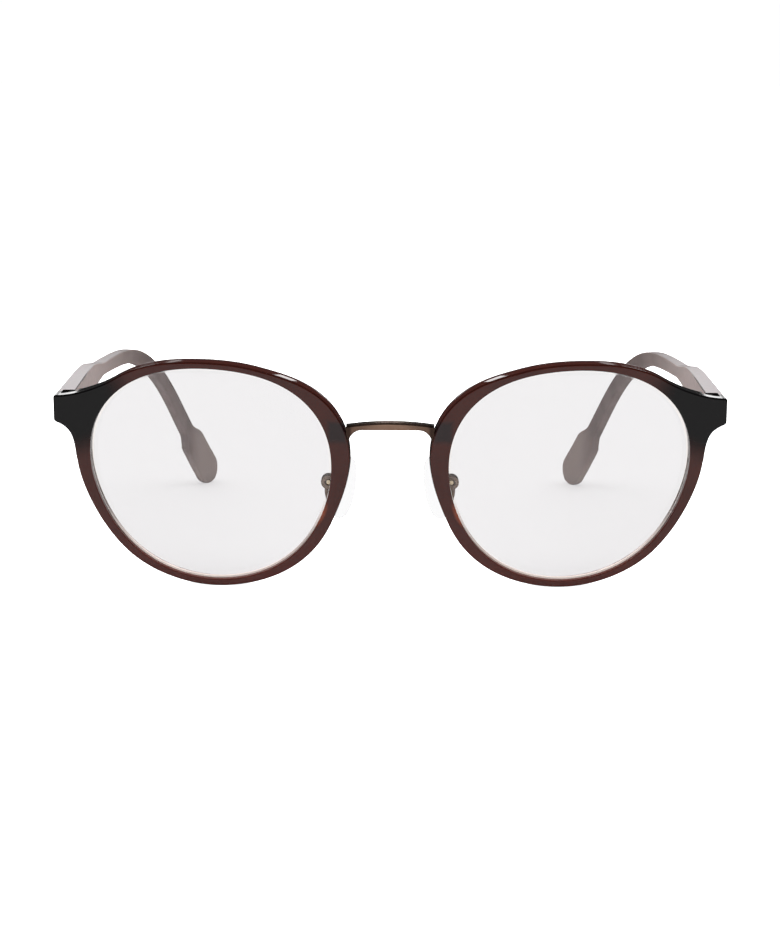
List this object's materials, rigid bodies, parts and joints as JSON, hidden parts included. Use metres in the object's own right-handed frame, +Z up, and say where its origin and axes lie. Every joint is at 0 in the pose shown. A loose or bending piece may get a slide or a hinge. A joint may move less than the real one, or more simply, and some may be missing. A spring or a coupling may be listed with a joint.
{
  "type": "round eyeglasses",
  "caption": "Round eyeglasses with clear lenses: slim plastic rims with flared end pieces, a metal bridge, rocking nose pads and temples that fold on barrel hinges.",
  "frame": {"origin": "on the table plane, under the middle of the bounding box", "axes": "+X towards the wearer's left, +Y back along the open temples, +Z up; the lenses face -Y and the glasses stand on the rims' lower edges and the temple tips"},
  "size_m": [0.136, 0.133, 0.0467],
  "materials": {
    "front_plastic": "gloss",
    "lens": "gloss",
    "bridge_metal": "satin",
    "arm_metal": "satin",
    "screw": "satin",
    "pad_core": "satin",
    "silicone": "satin",
    "hinge_metal": "satin",
    "temple_plastic": "satin"
  },
  "bodies": {
    "front": {"rim_right": "front_plastic", "rim_left": "front_plastic", "lens_right": "lens", "lens_left": "lens", "bridge": "bridge_metal", "pad_arm_right": "arm_metal", "pad_arm_left": "arm_metal", "pad_screw_right": "screw", "pad_screw_left": "screw", "front_hinge_right": "hinge_metal", "front_hinge_left": "hinge_metal", "hinge_screw_right": "screw", "hinge_screw_left": "screw"},
    "temple_right": {"temple_right": "temple_plastic", "temple_hinge_right": "hinge_metal"},
    "temple_left": {"temple_left": "temple_plastic", "temple_hinge_left": "hinge_metal"},
    "nose_pad_right": {"nose_pad_right": "silicone", "pad_core_right": "pad_core"},
    "nose_pad_left": {"nose_pad_left": "silicone", "pad_core_left": "pad_core"}
  },
  "joints": [
    {"name": "temple_left_fold", "type": "hinge", "parent": "front", "child": "temple_left", "pos_m": [0.06429, -0.05807, 0.03681], "axis": [0, 0, 1], "range_deg": [0, 80]},
    {"name": "temple_right_fold", "type": "hinge", "parent": "front", "child": "temple_right", "pos_m": [-0.06429, -0.05807, 0.03681], "axis": [0, 0, -1], "range_deg": [0, 72]},
    {"name": "nose_pad_left_rock", "type": "hinge", "parent": "front", "child": "nose_pad_left", "pos_m": [0.0126, -0.05547, 0.02096], "axis": [0, 1, 0], "range_deg": [-8, 8]},
    {"name": "nose_pad_right_rock", "type": "hinge", "parent": "front", "child": "nose_pad_right", "pos_m": [-0.0126, -0.05547, 0.02096], "axis": [0, -1, 0], "range_deg": [-8, 8]}
  ]
}
